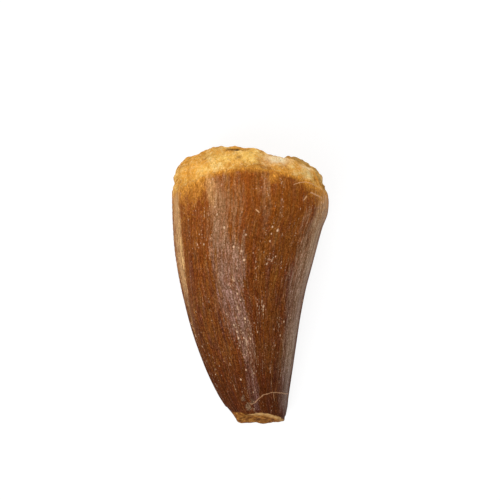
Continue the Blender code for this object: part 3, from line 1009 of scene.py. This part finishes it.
def flecks(make, field, spacing, largest, wanted):
    """Where small pale flecks of worn enamel lie. wanted is the share of cells that hold one."""
    cells = make.node("TexVoronoi", {"Vector": make.fields[field], "Scale": 1.0 / spacing})
    chance = make.node("SeparateColor", {"Color": cells.outputs["Color"]})
    present = make.calculate("GREATER_THAN", make.add(chance.outputs["Red"], wanted), 1.0)
    radius = make.fit(chance.outputs["Green"], 0.0, 1.0, largest * SMALLEST_FLECK, largest)
    depth = make.calculate("SUBTRACT", radius, cells.outputs["Distance"])
    inside = make.fit(depth, 0.0, largest * FLECK_EDGE)
    strength = make.fit(chance.outputs["Blue"], 0.0, 1.0, FAINTEST_FLECK, 1.0)
    return make.times(make.times(present, inside), strength)


def worn_flecks(make):
    """All the pale flecks: a thin dust of them everywhere, and clusters where they run together."""
    dust = make.times(flecks(make, *DUST, DUST_WANTED), DUST_STRENGTH)
    clustered = flecks(make, *CLUSTER, make.fit(make.stored("flecked"), *CLUSTER_WANTED))
    rough = make.add(*[make.noise(*kind) for kind in WORN_NOISES])
    rough = make.add(rough, make.times(make.stored("flecked"), WORN_LIFT))
    run_together = make.fit(rough, *WORN_FIT)
    return make.calculate("MAXIMUM", make.calculate("MAXIMUM", dust, clustered), run_together)


def pale_lines(make):
    """Where the crack, the scratches and the thin arc lie: 1 on a line."""
    total = 0.0
    for name in ("line", "branch"):
        gap = make.add(make.stored(name + "_gap"), make.texture(*LINE_WOBBLE))
        gap = make.calculate("ABSOLUTE", gap, 0.0)
        depth = make.calculate("SUBTRACT", make.texture(*LINE_WIDTHS), gap)
        line = make.fit(depth, *LINE_EDGE)
        line = make.times(line, make.stored(name + "_near"))
        total = make.calculate("MAXIMUM", total, line)
    return total


def with_marks(make, colour, worn):
    """The enamel with its flecks, fine lines, chips, and painted shade in its notches."""
    colour = make.mix(worn, colour, FLECK_COLOUR)
    rise = make.along(*LINE_RISE)
    strength = make.times(pale_lines(make), make.fit(rise, 0.0, 1.0, *LINE_STRENGTHS))
    colour = make.mix(strength, colour, make.mix(rise, *LINE_COLOURS))
    chip = make.add(make.stored("chipped"), make.noise(*CHIP_NOISE))
    grit = make.ramp(make.noise(*CHIP_GRIT_NOISE), CHIP_GRIT)
    colour = make.mix(make.fit(chip, *CHIP_FIT), colour, grit)
    return make.mix(make.fit(make.stored("notch"), *NOTCH_FIT), colour, NOTCH_PAINTED_SHADE)


def bone_colour(make):
    """Ochre bone and sandy crust: mottling, painted light on lumps, painted shade in hollows and a few pits.
    """
    mottled = make.add(make.noise(*BONE_NOISE), make.stored("relief_painted_shade"))
    colour = make.ramp(mottled, BONE_COLOURS)
    colour = make.mix(make.texture(*BONE_WARMTH), colour, BONE_WARM)
    for name, tint in BONE_STAINS:
        share = make.times(make.stored(name), make.texture(*BONE_STAIN_FRAYING))
        colour = make.mix(share, colour, tint)
    cells = make.node("TexVoronoi", {"Vector": make.fields["place"], "Scale": SHADED_PITS_PER_MM})
    colour = make.shaded(colour, make.fit(cells.outputs["Distance"], *PIT_SHADE_FIT))
    grains = make.noise(*GRAIN_NOISE)
    for fit, grain in GRAINS:
        colour = make.mix(make.fit(grains, *fit), colour, grain)
    colour = make.shaded(colour, make.texture(*BONE_SAND))
    slit = make.fit(make.add(make.stored("slit"), make.texture(*SLIT_FRAYING)), *SLIT_FIT)
    return make.mix(slit, colour, SLIT_PAINTED_SHADE)


def with_core(make, colour):
    """The middle of the broken base: a ring of brown dentine around the sand that fills the pulp cavity."""
    inward = make.add(make.stored("core"), make.texture(*CORE_FRAYING))
    dentine = make.ramp(make.noise(*RING_NOISE), RING_COLOURS)
    share = make.times(make.fit(inward, *RING_FIT), make.texture(*RING_WEAR))
    colour = make.mix(share, colour, dentine)
    sand = make.ramp(make.noise(*FILLING_NOISE), FILLING_COLOURS)
    sand = make.shaded(sand, make.texture(*FILLING_GRAIN))
    return make.mix(make.fit(inward, *FILLING_FIT), colour, sand)


def dentine_colour(make):
    """The broken tip: mottled tan and brown, with faint rings and a cream rim along its upper edge."""
    colour = make.ramp(make.noise(*DENTINE_NOISE), DENTINE_COLOURS)
    for shade in DENTINE_SHADES:
        colour = make.shaded(colour, make.texture(*shade))
    rim = make.times(make.stored("cream"), make.texture(*CREAM_FRAYING))
    return make.mix(rim, colour, CREAM)


def roughness(make, on_bone, worn):
    """Satin enamel and dull bone, duller on the broken tip, on flecks and low on the left."""
    rough = make.fit(on_bone, 0.0, 1.0, *ROUGHNESS)
    rough = make.add(rough, make.times(make.stored("left_low"), LEFT_LOW_ROUGHNESS))
    rough = make.add(rough, make.fit(make.stored("broken"), *TIP_ROUGHNESS))
    rough = make.add(rough, make.texture(*UNEVEN_ROUGHNESS))
    return make.add(rough, make.times(worn, FLECK_ROUGHNESS))


def finest_relief(make, on_bone):
    """A slight bump all over, and more of it on the gritty bone."""
    fine = make.add(*[make.noise(*kind) for kind in FINEST_NOISES])
    gritty = make.fit(on_bone, 0.0, 1.0, 0.0, BONE_GRITTINESS)
    grit = make.times(make.noise(*BONE_GRIT_NOISE), gritty)
    inputs = {"Height": make.add(fine, grit), "Strength": BUMP_STRENGTH, "Distance": BUMP_HEIGHT}
    return make.node("Bump", inputs).outputs["Normal"]


def tooth_material():
    make = Shading("fossil_tooth_looks")
    add_fields(make)
    worn = worn_flecks(make)
    colour = with_marks(make, enamel_colour(make), worn)
    on_bone = make.fit(make.add(make.stored("bone"), make.texture(*BONE_FRAYING)), *BONE_BORDER)
    colour = make.mix(on_bone, colour, with_core(make, bone_colour(make)))
    on_tip = make.fit(make.add(make.stored("broken"), make.texture(*TIP_FRAYING)), *TIP_BORDER)
    colour = make.mix(on_tip, colour, dentine_colour(make))
    inputs = {
        "Base Color": colour,
        "Roughness": roughness(make, on_bone, worn),
        "Specular IOR Level": SPECULAR,
        "Normal": finest_relief(make, on_bone),
    }
    return make.finished(inputs)


def floor_material():
    inputs = {
        "Base Color": FLOOR_GREY,
        "Roughness": 1.0,
        "Specular IOR Level": 0.0,
        "Emission Color": WHITE,
        "Emission Strength": FLOOR_GLOW,
    }
    return Shading("studio_floor").finished(inputs)


def placed(name, data):
    made = bpy.data.objects.new(name, data)
    bpy.context.scene.collection.objects.link(made)
    return made


def piece(name, mesh, material):
    mesh.materials.append(material)
    return placed(name, mesh)


def make_tooth():
    tooth = piece("tooth_surface", tooth_mesh(), tooth_material())
    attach(tooth, "root")
    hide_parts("tooth")


def make_floor():
    half = FLOOR_HALF
    corners = [(-half, -half, 0), (half, -half, 0), (half, half, 0), (-half, half, 0)]
    mesh = bpy.data.meshes.new("floor")
    mesh.from_pydata(corners, [], [(0, 1, 2, 3)])
    floor = piece("floor", mesh, floor_material())


def area_light(name, towards, distance, size, radiance):
    """A soft box that shines on the tooth from this direction. size is (across, along), in metres."""
    light = bpy.data.lights.new(name, "AREA")
    light.shape = "RECTANGLE"
    light.size, light.size_y = size
    light.energy = radiance * math.pi * size[0] * size[1]
    made = placed(name, light)
    direction = Vector(towards).normalized()
    made.location = direction * distance
    made.rotation_euler = direction.to_track_quat("Z", "Y").to_euler()


def make_world():
    world = bpy.data.worlds.new("studio")
    bpy.context.scene.world = world
    world.use_nodes = True
    nodes, links = world.node_tree.nodes, world.node_tree.links
    background = nodes["Background"]
    where = nodes.new("ShaderNodeTexCoord")
    split = nodes.new("ShaderNodeSeparateXYZ")
    fade = nodes.new("ShaderNodeMapRange")
    for socket, value in SKY_FADE.items():
        fade.inputs[socket].default_value = value
    links.new(where.outputs["Generated"], split.inputs[0])
    links.new(split.outputs["Z"], fade.inputs["Value"])
    links.new(fade.outputs["Result"], background.inputs["Strength"])
    background.inputs["Color"].default_value = WHITE


def make_camera():
    camera = bpy.data.cameras.new("camera")
    camera.lens = CAMERA_LENS
    camera.sensor_width = CAMERA_SENSOR
    camera.clip_start = CAMERA_NEAR
    made = placed("camera", camera)
    made.location = CAMERA_AT
    bpy.context.scene.camera = made


def main():
    make_tooth()
    make_floor()
    make_world()
    for light in LIGHTS:
        area_light(*light)
    make_camera()
    bpy.context.scene.view_settings.view_transform = "Standard"


main()
